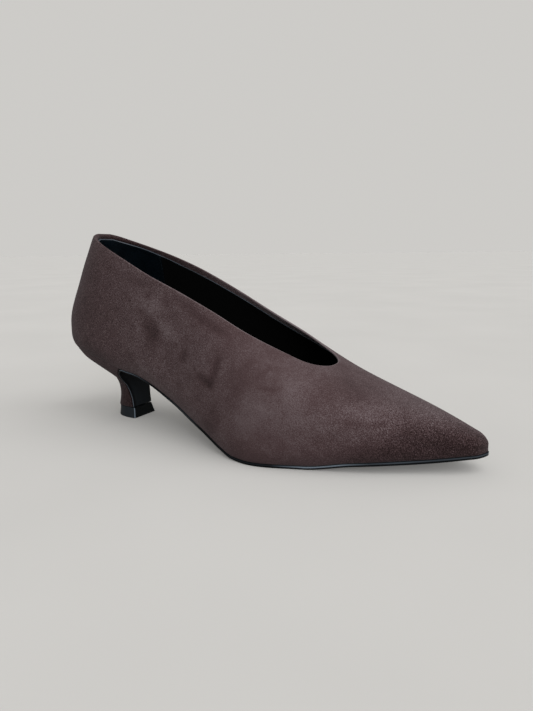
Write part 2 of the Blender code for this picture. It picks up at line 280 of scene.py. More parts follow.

# Shade of the heel's suede by height, darker towards its foot; and at its breast, with the number of points
# counted as the breast, painted shade where the breast and its corners lie in the gap behind the flap
HEEL_SHADE = ((7, -1.2), (24, -1.15), (34, -0.75), (45, -0.45))
BREAST_SHADE = -2.0
BREAST_POINTS = 12

# Marks on the suede, listed one by one: soft hollows and patches of darker or lighter nap, and a few broad
# patches of painted shade. Columns: side of the shoe, place along and height, size along and across the mark,
# its turn in side view in degrees, hollow depth, and shade from dark to light
MARK_COLUMNS = ("side", "along", "height", "length", "width", "turn", "depth", "shade")
MARKS = (
    ("outer", 85.5, 65.0, 9.5, 5.2, -40.0, 0.30, -0.66),
    ("outer", 88.5, 61.5, 4.5, 4.5, -35.0, 0.12, -0.30),
    ("outer", 86.0, 77.0, 9.0, 4.5, -15.0, -0.10, 0.45),
    ("outer", 100.5, 63.0, 10.0, 3.5, -34.0, -0.15, 0.40),
    ("outer", 76.0, 89.0, 8.0, 2.2, -13.0, 0.10, -0.45),
    ("outer", 83.5, 81.3, 2.6, 2.0, 0.0, 0.05, -0.50),
    ("outer", 85.0, 92.0, 13.0, 2.6, -27.0, 0.00, -0.25),
    ("outer", 124.0, 70.2, 13.0, 2.1, -25.0, 0.12, -0.45),
    ("outer", 108.5, 79.0, 9.0, 1.6, -21.0, 0.08, -0.35),
    ("outer", 112.5, 51.0, 4.4, 3.0, 60.0, 0.25, -0.75),
    ("outer", 135.0, 45.5, 9.0, 2.4, 74.0, 0.25, -0.75),
    ("outer", 127.5, 40.2, 6.0, 2.4, -24.0, 0.25, -0.75),
    ("outer", 132.6, 39.0, 3.6, 3.6, 0.0, 0.10, -0.45),
    ("outer", 86.0, 56.0, 6.0, 4.5, 0.0, 0.05, -0.35),
    ("outer", 69.8, 46.5, 4.2, 3.0, -35.0, 0.05, -0.35),
    ("outer", 74.0, 44.2, 3.6, 1.0, -47.0, -0.10, 0.40),
    ("outer", 84.0, 38.0, 7.0, 1.0, -27.0, -0.10, 0.35),
    ("outer", 143.0, 66.0, 9.0, 5.0, -25.0, 0.00, -0.12),
    ("outer", 166.5, 39.8, 6.0, 1.4, 0.0, 0.08, -0.30),
    ("outer", 204.0, 38.5, 14.0, 3.5, -23.0, 0.06, -0.16),
    ("outer", 204.0, 36.5, 3.2, 2.4, 0.0, 0.05, -0.15),
    ("outer", 209.6, 25.8, 14.0, 1.6, -4.0, 0.05, -0.28),
    ("outer", 166.6, 24.8, 8.0, 6.0, 0.0, 0.00, 0.28),
    ("outer", 165.0, 49.2, 8.0, 4.0, -20.0, 0.00, 0.22),
    ("outer", 184.0, 22.0, 11.0, 5.5, 0.0, -0.05, 0.20),
    ("outer", 236.0, 27.5, 10.0, 3.2, -12.0, -0.05, 0.20),
    ("outer", 228.0, 25.0, 14.0, 5.0, -15.0, 0.00, -0.12),
    ("outer", 255.0, 18.0, 5.0, 3.5, 0.0, 0.00, 0.30),
    ("outer", 172.0, 37.0, 16.0, 9.0, 0.0, -0.05, 0.28),
    ("outer", 193.0, 27.5, 14.0, 6.0, 0.0, -0.05, 0.25),
    ("outer", 213.0, 29.5, 12.0, 4.5, -15.0, -0.05, 0.38),
    ("outer", 157.0, 26.0, 12.0, 9.0, 60.0, -0.05, 0.28),
    ("outer", 133.5, 19.5, 9.0, 5.0, 60.0, 0.10, -0.40),
    # The lower toe darker: partly nap, partly painted shade where its side turns down away from the light
    ("outer", 242.0, 10.0, 42.0, 12.0, 4.0, 0.00, -0.98),
    ("outer", 248.0, 19.0, 18.0, 7.0, -8.0, 0.00, -0.38),
    # The back darker: painted shade, where the back faces away from the light
    ("outer", 18.0, 76.0, 42.0, 54.0, 0.0, 0.00, -0.62),
    ("inner", 92.0, 64.0, 9.0, 4.0, 50.0, 0.25, -0.60),
    ("inner", 124.0, 47.0, 8.0, 2.4, 60.0, 0.25, -0.50),
    ("inner", 108.0, 58.0, 14.0, 6.0, -30.0, -0.10, 0.35),
    ("inner", 146.0, 36.0, 9.0, 4.0, 50.0, 0.15, -0.40),
    ("inner", 60.0, 80.0, 12.0, 6.0, 60.0, -0.10, 0.30),
    ("inner", 175.0, 30.0, 14.0, 7.0, 20.0, -0.05, 0.30),
    # Inner side: the lower toe darker, partly nap and partly painted shade; the back darker, painted shade
    ("inner", 240.0, 12.0, 30.0, 7.0, 3.0, 0.00, -0.80),
    ("inner", 20.0, 74.0, 22.0, 46.0, 0.0, 0.00, -0.40),
)

# Ribs round the back, along the sides, over the vamp and round the nose, and levels up each rib; then how
# much side ribs crowd towards the throat, and steps round the rim of the collar
UPPER_COUNTS = (44, 92, 60, 26, 58)
LINING_COUNTS = (36, 70, 40, 16, 44)
SIDE_CLUSTER = 1.7
RIM_STEPS = 8

# Points round half of the heel: across its breast, round the breast corner and on to the back; then rings up
# the heel, and up each bevel and the wall of its top piece
BREAST_FLAT = 6
CORNER_TURN = 7
HEEL_POINTS = 48
HEEL_RINGS = 48
TIP_BEVEL_RINGS = 5
TIP_WALL_RINGS = 9

# Stitches beside the lining seam: set-back from it, reach for finding the lining's face, clear ends, and
# points of a path
STITCH_SET_BACK = 1.6
STITCH_REACH = 1.2
STITCH_FOOT = 2.0
STITCH_TOP = 1.5
PATH_POINTS = 40

# Camera in the last's frame, matched to the photo: place, turns in degrees, focal length and photo height in
# pixels, sensor width, and the nearest distance that it sees, in metres
CAMERA_PLACE = (290.7, -256.1, 105.1)
CAMERA_AZIMUTH = 29.79
CAMERA_ELEVATION = 10.93
CAMERA_ROLL = -0.63
FOCAL_PIXELS = 534.0
PHOTO_SIDE = 711.0
SENSOR = 36.0
NEAREST_SEEN = 0.01

# Studio: colour and strength of the pale air, glow of the floor, radii of its rings in metres, and points on
# each ring
AIR = "#FFFDF9"
AIR_STRENGTH = 0.61
FLOOR_GLOW = 0.10
FLOOR_RADII = (0.3, 0.6, 1.2, 2.5, 5.0, 10.0, 20.0, 40.0)
FLOOR_TURNS = 96

# Lamps: name, strength, spread in degrees, colour, and the places that they hang at and point to, in metres
LAMPS = (
    ("soft_window", 2.95, 80.0, "#FFFFFF", (0.70, -0.20, 0.62), (0.0, 0.0, 0.0)),
    ("front_softbox", 0.46, 27.0, "#EEF3FF", (0.75, -0.65, 0.35), (0.05, 0.0, 0.02)),
)


def linear(hex_colour):
    """Linear colour of an sRGB hex value."""
    channels = [int(hex_colour[k : k + 2], 16) / 255 for k in (1, 3, 5)]
    return [c / 12.92 if c <= 0.04045 else ((c + 0.055) / 1.055) ** 2.4 for c in channels] + [1.0]


def smooth(xs, ys, at):
    """Curve through a short table with no overshoot."""
    xs = np.asarray(xs, float)
    ys = np.asarray(ys, float)
    at = np.asarray(at, float)
    step = np.diff(xs)
    slope = np.diff(ys) / step
    tangent = np.zeros_like(ys)
    tangent[0] = slope[0]
    tangent[-1] = slope[-1]
    for k in range(1, len(xs) - 1):
        if slope[k - 1] * slope[k] > 0:
            before = 2 * step[k] + step[k - 1]
            after = step[k] + 2 * step[k - 1]
            tangent[k] = (before + after) / (before / slope[k - 1] + after / slope[k])
    i = np.clip(np.searchsorted(xs, at) - 1, 0, len(xs) - 2)
    t = (at - xs[i]) / step[i]
    return (
        (1 + 2 * t) * (1 - t) ** 2 * ys[i]
        + t * (1 - t) ** 2 * step[i] * tangent[i]
        + t * t * (3 - 2 * t) * ys[i + 1]
        + t * t * (t - 1) * step[i] * tangent[i + 1]
    )


def column(rows, names, name):
    return [row[names.index(name)] for row in rows]


def lookup(table, at):
    """Straight-line reading of a table of places and values."""
    return np.interp(at, *zip(*table))


STATIONS = np.linspace(0, LENGTH, 4 * int(LENGTH) + 1)


def eased(name):
    """A column over all stations, in millimetres; sections are eased into one another."""
    scale = {
        "centre": BALL_WIDTH,
        "feather": BALL_WIDTH,
        "bulge": BALL_WIDTH,
        "bulge_up": INSTEP_HEIGHT,
        "ridge": INSTEP_HEIGHT,
        "lift": SEAT_HEIGHT - STACK,
        "power": 1.0,
        "sole": OUTSOLE,
    }[name]
    if name in SOLE_COLUMNS:
        places = column(SOLE_LINE, SOLE_COLUMNS, "along")
        return scale * smooth(places, column(SOLE_LINE, SOLE_COLUMNS, name), STATIONS / LENGTH)
    along = column(SECTIONS, SECTION_COLUMNS, "along")
    values = column(SECTIONS, SECTION_COLUMNS, name)
    reach = np.minimum(EASE, np.minimum(STATIONS, LENGTH - STATIONS))
    steps = np.linspace(-1, 1, EASE_STEPS)
    eased_steps = [smooth(along, values, (STATIONS + reach * step) / LENGTH) for step in steps]
    return scale * sum(eased_steps) / EASE_STEPS


MEASURES = {name: eased(name) for name in SECTION_COLUMNS[2:] + SOLE_COLUMNS[1:]}


def section(name, s):
    return np.interp(s, STATIONS, MEASURES[name])


def feather_height(s):
    return STACK + section("lift", s)


def back_seam(z):
    up = np.clip((z - SEAT_HEIGHT) / (BACK_TOP - SEAT_HEIGHT), 0, 1)
    return smooth(column(BACK_SEAM, BACK_COLUMNS, "up"), column(BACK_SEAM, BACK_COLUMNS, "inset"), up)


def pad_along(s):
    """Thickness of the collar's padding by place along the shoe."""
    return PAD * np.exp(-(((s - COLLAR_START) / PAD_ALONG) ** 2))


def collar(s, band, side):
    """Height of the collar line on one side, or of a line one band below it."""
    throat = THROAT_ALONG + band
    top = BACK_TOP - band
    share = np.clip((s - COLLAR_START) / (throat - COLLAR_START), 0, 1)
    drop = smooth(column(COLLAR, COLLAR_COLUMNS, "along"), column(COLLAR, COLLAR_COLUMNS, side), share)
    line = top + (section("ridge", throat) - top) * drop - (pad_along(s) / 2 if band > 0 else 0.0)
    return line - smooth(*zip(*TURNED), share) if band > TURNED_FROM else line


def half_width(s, z, top):
    """Half width of the upper: tucked under to the feather edge, bulging, then closing over to its top."""
    middle = feather_height(s) + section("bulge_up", s)
    rise = np.clip((z - middle) / (top - middle), 0, 1)
    tuck = np.clip((middle - z) / section("bulge_up", s), 0, 1)
    full = section("feather", s) + section("bulge", s)
    power = section("power", s)
    over = (1 - rise**power) ** (1 / power)
    return full * over - section("bulge", s) * tuck**TUCK_POWER


def back_rib(turn, share, band, side):
    """Rib of the rounded back; turn is a quarter circle at the seam and nothing at the side."""
    power = 2 / BACK_POWER
    inward = np.sin(turn) ** power
    outward = np.cos(turn) ** power

    def place(z):
        return BACK_ROUND - (BACK_ROUND - back_seam(z)) * inward

    low = SEAT_HEIGHT
    high = BACK_TOP
    for _ in range(SETTLE):
        low = feather_height(place(low))
        high = collar(place(high), band, side)
    z = low + (high - low) * share
    s = place(z)
    return s, half_width(s, z, section("ridge", s)) * outward, z


def cross_rib(s, share, band, side, nose_turn=0.0):
    """Rib straight across the shoe, closing at the ridge in front of the throat."""
    low = feather_height(s)
    middle = low + section("bulge_up", s)
    top = section("ridge", s)
    if nose_turn > 0:
        top = middle + (top - middle) * (NOSE_DROP + (1 - NOSE_DROP) * np.cos(nose_turn))
    end = min(collar(s, band, side), top) if s < THROAT_ALONG + band else top
    power = section("power", s)
    full_turn = np.arcsin(((end - middle) / (top - middle)) ** (power / 2))
    over = np.clip((share - TUCK_LEVELS) / (1 - TUCK_LEVELS), 0, 1)
    arch = middle + (top - middle) * np.sin(full_turn * over) ** (2 / power)
    z = np.where(share < TUCK_LEVELS, low + (middle - low) * share / TUCK_LEVELS, arch)
    along = np.full_like(z, s)
    return along, half_width(along, z, top) * np.cos(nose_turn), z


def upper_ribs(counts, band=0.0):
    """Outer face of the upper as two grids of points, outer and inner side, and the throat rib's number."""
    back, side, vamp, nose, levels = counts
    throat_along = THROAT_ALONG + band
    share = np.linspace(0, 1, levels)
    spread = 1 - (1 - np.linspace(0, 1, side)) ** SIDE_CLUSTER
    sides = BACK_ROUND + (throat_along - BACK_ROUND) * spread
    grids = []
    for name, sign in (("outer", -1), ("inner", 1)):
        ribs = [back_rib(turn, share, band, name) for turn in np.linspace(np.pi / 2, 0, back, endpoint=False)]
        ribs += [cross_rib(s, share, band, name) for s in sides]
        throat = len(ribs) - 1
        ahead = np.linspace(throat_along, LENGTH - NOSE_ROUND, vamp)[1:]
        ribs += [cross_rib(s, share, band, name) for s in ahead]
        for turn in np.linspace(0, np.pi / 2, nose)[1:]:
            ribs.append(cross_rib(LENGTH - NOSE_ROUND * (1 - np.sin(turn)), share, band, name, turn))
        s, width, z = (np.array([rib[k] for rib in ribs]) for k in range(3))
        grids.append(np.stack([s, section("centre", s) + sign * width, z], -1))
    return grids[0], grids[1], throat


def weld(outer_side, inner_side, throat):
    """Joins the two grids along back seam, nose and ridge; gives points, faces, feather edge and mouth."""
    count, levels = outer_side.shape[:2]
    points = []
    outer_ids = np.zeros((count, levels), int)
    inner_ids = np.zeros((count, levels), int)
    for i in range(count):
        for j in range(levels):
            outer_ids[i, j] = len(points)
            points.append(outer_side[i, j])
            shared = i in (0, count - 1) or (i >= throat and j == levels - 1)
            inner_ids[i, j] = outer_ids[i, j]
            if not shared:
                inner_ids[i, j] = len(points)
                points.append(inner_side[i, j])
    faces = []
    for i in range(count - 1):
        for j in range(levels - 1):
            faces.append((outer_ids[i, j], outer_ids[i + 1, j], outer_ids[i + 1, j + 1], outer_ids[i, j + 1]))
            faces.append((inner_ids[i, j + 1], inner_ids[i + 1, j + 1], inner_ids[i + 1, j], inner_ids[i, j]))
    top = levels - 1
    feather = [outer_ids[i, 0] for i in range(count)] + [inner_ids[i, 0] for i in range(count - 2, 0, -1)]
    mouth = [outer_ids[i, top] for i in range(throat + 1)]
    mouth += [inner_ids[i, top] for i in range(throat - 1, 0, -1)]
    return np.array(points), faces, feather, mouth


def point_normals(points, faces):
    quads = np.array(faces)
    corners = points[quads]
    area = np.cross(corners[:, 2] - corners[:, 0], corners[:, 3] - corners[:, 1])
    normals = np.zeros_like(points)
    for k in range(4):
        np.add.at(normals, quads[:, k], area)
    return normals / np.linalg.norm(normals, axis=1, keepdims=True)


def ring_faces(lower, upper):
    """Band of quads between two closed rings of point numbers."""
    count = len(lower)
    return [(lower[k], lower[(k + 1) % count], upper[(k + 1) % count], upper[k]) for k in range(count)]


def shell(points, faces, feather, mouth, face_depth, back_depth, crown):
    """Closed sheet between two depths under a face, with a flat feather edge and a rounded rim."""
    normals = point_normals(points, faces)
    front = points - np.reshape(face_depth, (-1, 1)) * normals
    behind = points - np.reshape(back_depth, (-1, 1)) * normals
    front[feather, 2] = points[feather, 2]
    behind[feather, 2] = points[feather, 2]
    along = points[np.roll(mouth, -1)] - points[np.roll(mouth, 1)]
    upward = np.cross(normals[mouth], along)
    upward /= np.linalg.norm(upward, axis=1, keepdims=True)
    middle = (front[mouth] + behind[mouth]) / 2
    reach = (front[mouth] - behind[mouth]) / 2
    count = len(points)
    everything = [front, behind]
    rings = [mouth]
    for step in range(1, RIM_STEPS):
        turn = np.pi * step / RIM_STEPS
        start = 2 * count + (step - 1) * len(mouth)
        everything.append(middle + np.cos(turn) * reach + np.sin(turn) * np.reshape(crown, (-1, 1)) * upward)
        rings.append(list(range(start, start + len(mouth))))
    rings.append([count + k for k in mouth])
    rims = ring_faces([count + k for k in feather], feather)
    for lower, upper in zip(rings, rings[1:]):
        rims += ring_faces(lower, upper)
    inside = [tuple(count + k for k in reversed(face)) for face in faces]
    return np.concatenate(everything), faces + inside + rims


def mark_field(points, name):
    """Sum of one column over the hand-placed marks, each a soft long spot on its own side of the shoe."""
    field = np.zeros(len(points))
    side_of = points[:, 1] - section("centre", points[:, 0])
    for row in MARKS:
        mark = dict(zip(MARK_COLUMNS, row))
        turn = math.radians(mark["turn"])
        ds = points[:, 0] - mark["along"]
        dz = points[:, 2] - mark["height"]
        run = (ds * math.cos(turn) + dz * math.sin(turn)) / mark["length"]
        across = (dz * math.cos(turn) - ds * math.sin(turn)) / mark["width"]
        on_side = side_of < 0 if mark["side"] == "outer" else side_of >= 0
        field += mark[name] * np.exp(-((run**2 + across**2) ** 2)) * on_side
    return field


def padding(points):
    """Thickness of the padding inside the collar round the back."""
    s, z = points[:, 0], points[:, 2]
    near_top = np.clip((z - BACK_TOP + PAD_DOWN) / PAD_DOWN, 0, 1)
    return pad_along(s) * near_top * near_top * (3 - 2 * near_top)


def painted_hem_shade(points):
    """Painted shade in a low band over the sole, where the side turns down, laid into the nap."""
    s, z = points[:, 0], points[:, 2]
    return lookup(HEM_SHADE, s) * np.exp(-(((z - feather_height(s)) / HEM_REACH) ** 2))


def edge_band(points):
    """Nap made lighter in a narrow band under the collar."""
    s, y, z = points.T
    line = np.where(y < section("centre", s), collar(s, 0.0, "outer"), collar(s, 0.0, "inner"))
    return EDGE_SHADE * np.exp(-(((line - z) / EDGE_REACH) ** 2)) * (s > BACK_ROUND) * (s < THROAT_ALONG)


def draw_in(outline, amount):
    """Moves a closed plan outline inwards, or outwards for a negative amount."""
    ahead = np.roll(outline, -1, 0) - outline
    behind = outline - np.roll(outline, 1, 0)
    run = ahead[:, :2] / np.linalg.norm(ahead[:, :2], axis=1, keepdims=True)
    run = run + behind[:, :2] / np.linalg.norm(behind[:, :2], axis=1, keepdims=True)
    run /= np.linalg.norm(run, axis=1, keepdims=True)
    return outline[:, :2] + amount * np.stack([-run[:, 1], run[:, 0]], -1)


def feather_outline():
    """Plan outline of the feather edge, round the outer side from back to nose and home on the inner side."""
    outer_side, inner_side, _ = upper_ribs(UPPER_COUNTS[:-1] + (2,))
    return np.concatenate([outer_side[:, 0], inner_side[-2:0:-1, 0]])


def outline_rows(amount):
    """Place along, centre and half width across the feather outline moved outwards, from nose to back."""
    outline = feather_outline()
    moved = draw_in(outline, -amount)
    for i in range(len(outline) // 2 - 1, 0, -1):
        left, right = moved[i], moved[len(outline) - i]
        yield (left[0] + right[0]) / 2, (left[1] + right[1]) / 2, (right[1] - left[1]) / 2


def heel_measure(name, up, levels=HEEL_LEVELS):
    return smooth(column(levels, HEEL_COLUMNS, "up"), column(levels, HEEL_COLUMNS, name), up)


def turn_corner(before, corner, after, weight, t):
    """Point on a curve that rounds a corner; a heavier weight turns closer to it."""
    shares = np.array([(1 - t) ** 2, 2 * weight * t * (1 - t), t * t])
    return shares @ np.array([before, corner, after]) / shares.sum()


def sole_rows():
    """Rows of the outsole from toe tip to bend and down the flap: top, under, centre and half width."""
    breast = SEAT_BREAST + GAP
    foot = TIP_HEIGHT + FLAP_CLEAR
    seat = feather_height(breast) - GAP
    seat_half = section("feather", breast)
    centre = section("centre", breast)

    def flap_measure(name, z):
        return heel_measure(name, np.clip((z - foot) / (seat - foot), 0, 1))

    def pair(s):
        return (s, feather_height(s) - GAP), (s, feather_height(s) - GAP - section("sole", s))

    def flap_pair(z):
        s = flap_measure("breast", z) + GAP
        return (s, z), (s + FLAP, z)

    z = seat
    for _ in range(4 * SETTLE):
        s = flap_pair(z)[1][0]
        z = pair(s)[1][1]
    ahead, below = pair(s + BEND), flap_pair(z - BEND)
    rows = []
    for along, middle, half in outline_rows(SOLE_EDGE):
        if along > s + BEND + ROW_CLEAR / 2:
            rows.append((*pair(along), middle, half))
    for t in np.linspace(0, 1, BEND_ROWS):
        top = turn_corner(ahead[0], (breast, seat), below[0], BEND_TIGHT, t)
        under = turn_corner(ahead[1], (s, z), below[1], 1.0, t)
        half = seat_half * flap_measure("half", top[1]) + SOLE_EDGE * (1 - t)
        rows.append((tuple(top), tuple(under), centre, half))
    for height in np.linspace(z - BEND, foot, FLAP_ROWS)[1:]:
        rows.append((*flap_pair(height), centre, seat_half * flap_measure("half", height)))
    return rows


def strip_piece(rows, bead, crown=0.0, edge_steps=9, across=7):
    """Solid sheet through rows of top and under points, with rounded edges and a crowned top. Also gives how
    far down the rounded edge each point lies, or that it is away from it."""
    share = (1 - np.cos(np.linspace(0, np.pi, edge_steps))) / 2
    away = np.full(across, AWAY_FROM_EDGE)
    points = []
    down = []
    for top, under, centre, half in rows:
        round_in = min(bead, BEAD_MOST * half)
        edge = half - round_in * (1 - np.sqrt(1 - (2 * share - 1) ** 2))
        flat = np.linspace(round_in - half, half - round_in, across + 2)[1:-1]
        lateral = np.concatenate([flat, edge, flat[::-1], -edge[::-1]])
        depth = np.concatenate([np.zeros(across), share, np.ones(across), share[::-1]])
        down.append(np.concatenate([away, share, away, share[::-1]]))
        for y, v in zip(lateral, depth):
            rise = crown * (1 - v) * (1 - (y / half) ** 2)
            height = top[1] + (under[1] - top[1]) * v + rise
            points.append((top[0] + (under[0] - top[0]) * v, centre + y, height))
    count = 2 * (across + edge_steps)
    faces = []
    for k in range(len(rows) - 1):
        faces += ring_faces(range(k * count, (k + 1) * count), range((k + 1) * count, (k + 2) * count))
    faces.append(tuple(range(count)))
    faces.append(tuple(range((len(rows) - 1) * count, len(rows) * count)))
    return np.array(points), faces, np.concatenate(down)


def sole_shine(points, down):
    """How brightly the outsole catches light: in a line on its rounded edge, faintly on the flap's face."""
    s, z = points[:, 0], points[:, 2]

    def line(glint):
        place, width = glint
        return np.exp(-(((down - place) / width) ** 2))

    sole = lookup(SOLE_SHINE, s) * line(SOLE_GLINT)
    edge = lookup(FLAP_SHINE, z) * line(FLAP_GLINT)
    face = FLAP_FACE * (down < 0) * np.clip((FLAP_FACE_TOP - z) / FLAP_FACE_FADE, 0, 1)
    on_flap = (s < SEAT_BREAST + FLAP + BEND) & (z < feather_height(s) - GAP - OUTSOLE)
    return np.where(on_flap, edge + face, sole)


def seat_half_outline():
    """Places along and half widths of the seat, from the breast round to the back."""
    along, width = [SEAT_BREAST], [section("feather", SEAT_BREAST) - HEEL_INSET]
    for s, _, half in outline_rows(-HEEL_INSET):
        if s < SEAT_BREAST - ROW_CLEAR:
            along.append(s)
            width.append(half)
    along.append(draw_in(feather_outline(), HEEL_INSET)[0, 0])
    width.append(0.0)
    return np.array(along), np.array(width)


def heel_rings(levels, heights, top_of, bottom, corner, pinch):
    """Rings of a heel block with rounded breast corners; pinch draws a ring in at chosen heights."""
    along, width = seat_half_outline()
    centre = section("centre", SEAT_BREAST)
    rings = []
    for up in heights:
        breast, half, depth = (heel_measure(name, up, levels) for name in HEEL_COLUMNS[1:])
        s = breast - depth * (SEAT_BREAST - along)
        w = half * width
        ahead = np.array([s[1] - s[0], w[1] - w[0]])
        ahead /= np.linalg.norm(ahead)
        t = np.linspace(0, 1, CORNER_TURN)[:, None]
        before = np.array([breast, w[0] - corner])
        at = np.array([breast, w[0]])
        after = at + corner * ahead
        turn = (1 - t) ** 2 * before + 2 * t * (1 - t) * at + t * t * after
        flat_width = np.linspace(0, w[0] - corner, BREAST_FLAT, endpoint=False)
        flat = np.stack([np.full(BREAST_FLAT, breast), flat_width], -1)
        run = np.insert(np.cumsum(np.hypot(np.diff(s), np.diff(w))), 0, 0.0)
        spots = np.linspace(corner, run[-1], HEEL_POINTS)[1:]
        side = np.stack([np.interp(spots, run, s), np.interp(spots, run, w)], -1)
        half_ring = np.concatenate([flat, turn, side])
        middle = np.array([(half_ring[0, 0] + half_ring[-1, 0]) / 2, 0.0])
        size = np.abs(half_ring - middle).max()
        half_ring = middle + (half_ring - middle) * (1 - pinch(up) / size)
        height_top = top_of(SEAT_BREAST - (breast - half_ring[:, 0]) / depth)
        z = bottom + (height_top - bottom) * up
        near = np.stack([half_ring[:, 0], centre - half_ring[:, 1], z], -1)
        far = np.stack([half_ring[:, 0], centre + half_ring[:, 1], z], -1)
        rings.append(np.concatenate([near, far[-2:0:-1]]))
    return rings


def rings_piece(rings):
    """Closed solid through rings that start at the middle of the breast, capped from near to far side."""
    count = len(rings[0])
    points = np.concatenate(rings)
    faces = []
    for level in range(len(rings) - 1):
        low, middle, high = (k * count for k in range(level, level + 3))
        faces += ring_faces(range(low, middle), range(middle, high))
    for base in (0, (len(rings) - 1) * count):
        faces.append((base, base + 1, base + count - 1))
        for k in range(1, count // 2 - 1):
            faces.append((base + k, base + k + 1, base + count - k - 1, base + count - k))
        k = count // 2 - 1
        faces.append((base + k, base + k + 1, base + k + 2))
    return points, faces


def placed(points):
    """Points of the last's frame, in metres in the row's frame."""
    return (np.asarray(points) - ROW_ORIGIN) * MM


def add_piece(name, points, faces, materials, outward=False):
    """Adds a smooth piece to the scene; outward turns all its faces out."""
    mesh = bpy.data.meshes.new(name)
    mesh.from_pydata(placed(points).tolist(), [], [tuple(int(k) for k in face) for face in faces])
    if mesh.validate():
        raise RuntimeError(f"{name} has faulty faces")
    for material in materials:
        mesh.materials.append(material)
    if outward:
        work = bmesh.new()
        work.from_mesh(mesh)
        bmesh.ops.recalc_face_normals(work, faces=work.faces)
        work.to_mesh(mesh)
        work.free()
    mesh.shade_smooth()
    piece = bpy.data.objects.new(name, mesh)
    bpy.context.scene.collection.objects.link(piece)
    return piece


def put_values(piece, name, values):
    """Stores one number for each point of a piece, for its material to read."""
    layer = piece.data.attributes.new(name, "FLOAT", "POINT")
    layer.data.foreach_set("value", np.asarray(values, np.float32))


def settle(piece, node=None):
    """Puts a finished piece on the shoe's body and hides the solid that it stands for."""
    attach(piece, "root")
    if node:
        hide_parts(node)


def set_values(node, values):
    """Sets the unlinked values of a node."""
    for key, value in values.items():
        node.inputs[key].default_value = value


def add_node(tree, kind, values=None, links=None, stops=(), **settings):
    """Adds a node with its settings, its unlinked values, the outputs that feed it and its ramp's stops."""
    made = tree.nodes.new(kind)
    for name, value in settings.items():
        setattr(made, name, value)
    set_values(made, values or {})
    for key, source in (links or {}).items():
        tree.links.new(source, made.inputs[key])
    if stops:
        elements = made.color_ramp.elements
        elements[0].position, elements[0].color = stops[0]
        elements[1].position, elements[1].color = stops[-1]
        for place, colour in stops[1:-1]:
            elements.new(place).color = colour
    return made


def tinted(colour, times):
    """A colour made lighter or darker."""
    return [min(1.0, times * c) for c in colour[:3]] + [1.0]


def new_material(name):
    """Material with a bare shader and its Object coordinates."""
    material = bpy.data.materials.new(name)
    material.use_nodes = True
    tree = material.node_tree
    coords = add_node(tree, "ShaderNodeTexCoord")
    return material, tree, tree.nodes["Principled BSDF"], coords.outputs["Object"]


def faux_suede(name, colours):
    """Microfibre faux suede, brushed after dyeing: no gloss, a soft grey bloom at grazing angles, and a nap
    that lies in lighter and darker strokes. Its fibres are finer than a pixel, so the grain is drawn about
    0.5 mm wide."""
    material, tree, shader, coords = new_material(name)
    fibres = {"Scale": 1 / (0.5 * MM), "Detail": 1.0, "Roughness": 0.6}
    grain = add_node(tree, "ShaderNodeTexNoise", fibres, {"Vector": coords})
    brushing = {"Scale": 1 / (7 * MM), "Detail": 4.0, "Roughness": 0.6, "Distortion": 0.6}
    strokes = add_node(tree, "ShaderNodeTexNoise", brushing, {"Vector": coords})
    clouds = add_node(tree, "ShaderNodeTexNoise", {"Scale": 1 / (26 * MM), "Detail": 3.0}, {"Vector": coords})
    # The nap attribute also carries the painted shade and highlights that the pieces lay into the suede
    nap = add_node(tree, "ShaderNodeAttribute", attribute_name="nap")
    coarse = add_node(tree, "ShaderNodeAttribute", attribute_name="grain")
    even = add_node(tree, "ShaderNodeMath", {1: -0.5}, {0: grain.outputs["Fac"]}, operation="ADD")
    strength = {0: even.outputs[0], 1: coarse.outputs["Fac"]}
    fine = add_node(tree, "ShaderNodeMath", links=strength, operation="MULTIPLY")
    start = {1: GRAIN_SHARE, 2: TONE_START}
    tone = add_node(tree, "ShaderNodeMath", start, {0: fine.outputs[0]}, operation="MULTIPLY_ADD")
    for layer, share in ((strokes, STROKE_SHARE), (clouds, CLOUD_SHARE), (nap, NAP_SHARE)):
        added = {0: layer.outputs["Fac"], 2: tone.outputs[0]}
        tone = add_node(tree, "ShaderNodeMath", {1: share}, added, operation="MULTIPLY_ADD")
    stops = ((0.0, colours.suede_dark), (0.5, colours.suede_middle), (1.0, colours.suede_light))
    dyed = add_node(tree, "ShaderNodeValToRGB", links={"Fac": tone.outputs[0]}, stops=stops)
    cells = add_node(tree, "ShaderNodeTexVoronoi", {"Scale": 1 / (9 * MM)}, {"Vector": coords})
    middle = {0: cells.outputs["Distance"]}
    speck = add_node(tree, "ShaderNodeMath", {1: LINT_SIZE}, middle, operation="LESS_THAN")
    picked = add_node(tree, "ShaderNodeSeparateColor", links={"Color": cells.outputs["Color"]})
    chance = {0: picked.outputs["Red"]}
    some = add_node(tree, "ShaderNodeMath", {1: LINT_RARE}, chance, operation="GREATER_THAN")
    both = {0: speck.outputs[0], 1: some.outputs[0]}
    lint = add_node(tree, "ShaderNodeMath", links=both, operation="MULTIPLY")
    layers = {0: lint.outputs[0], 6: dyed.outputs["Color"]}
    mixed = add_node(tree, "ShaderNodeMix", {7: colours.lint}, layers, data_type="RGBA")
    tree.links.new(mixed.outputs[2], shader.inputs["Base Color"])
    depth = {"Strength": 0.6, "Distance": 0.4 * MM}
    bump = add_node(tree, "ShaderNodeBump", depth, {"Height": fine.outputs[0]})
    tree.links.new(bump.outputs["Normal"], shader.inputs["Normal"])
    set_values(shader, {"Roughness": 0.95, "Specular IOR Level": 0.15})
    set_values(shader, {"Sheen Weight": 0.06, "Sheen Roughness": 0.5, "Sheen Tint": colours.bloom})
    return material


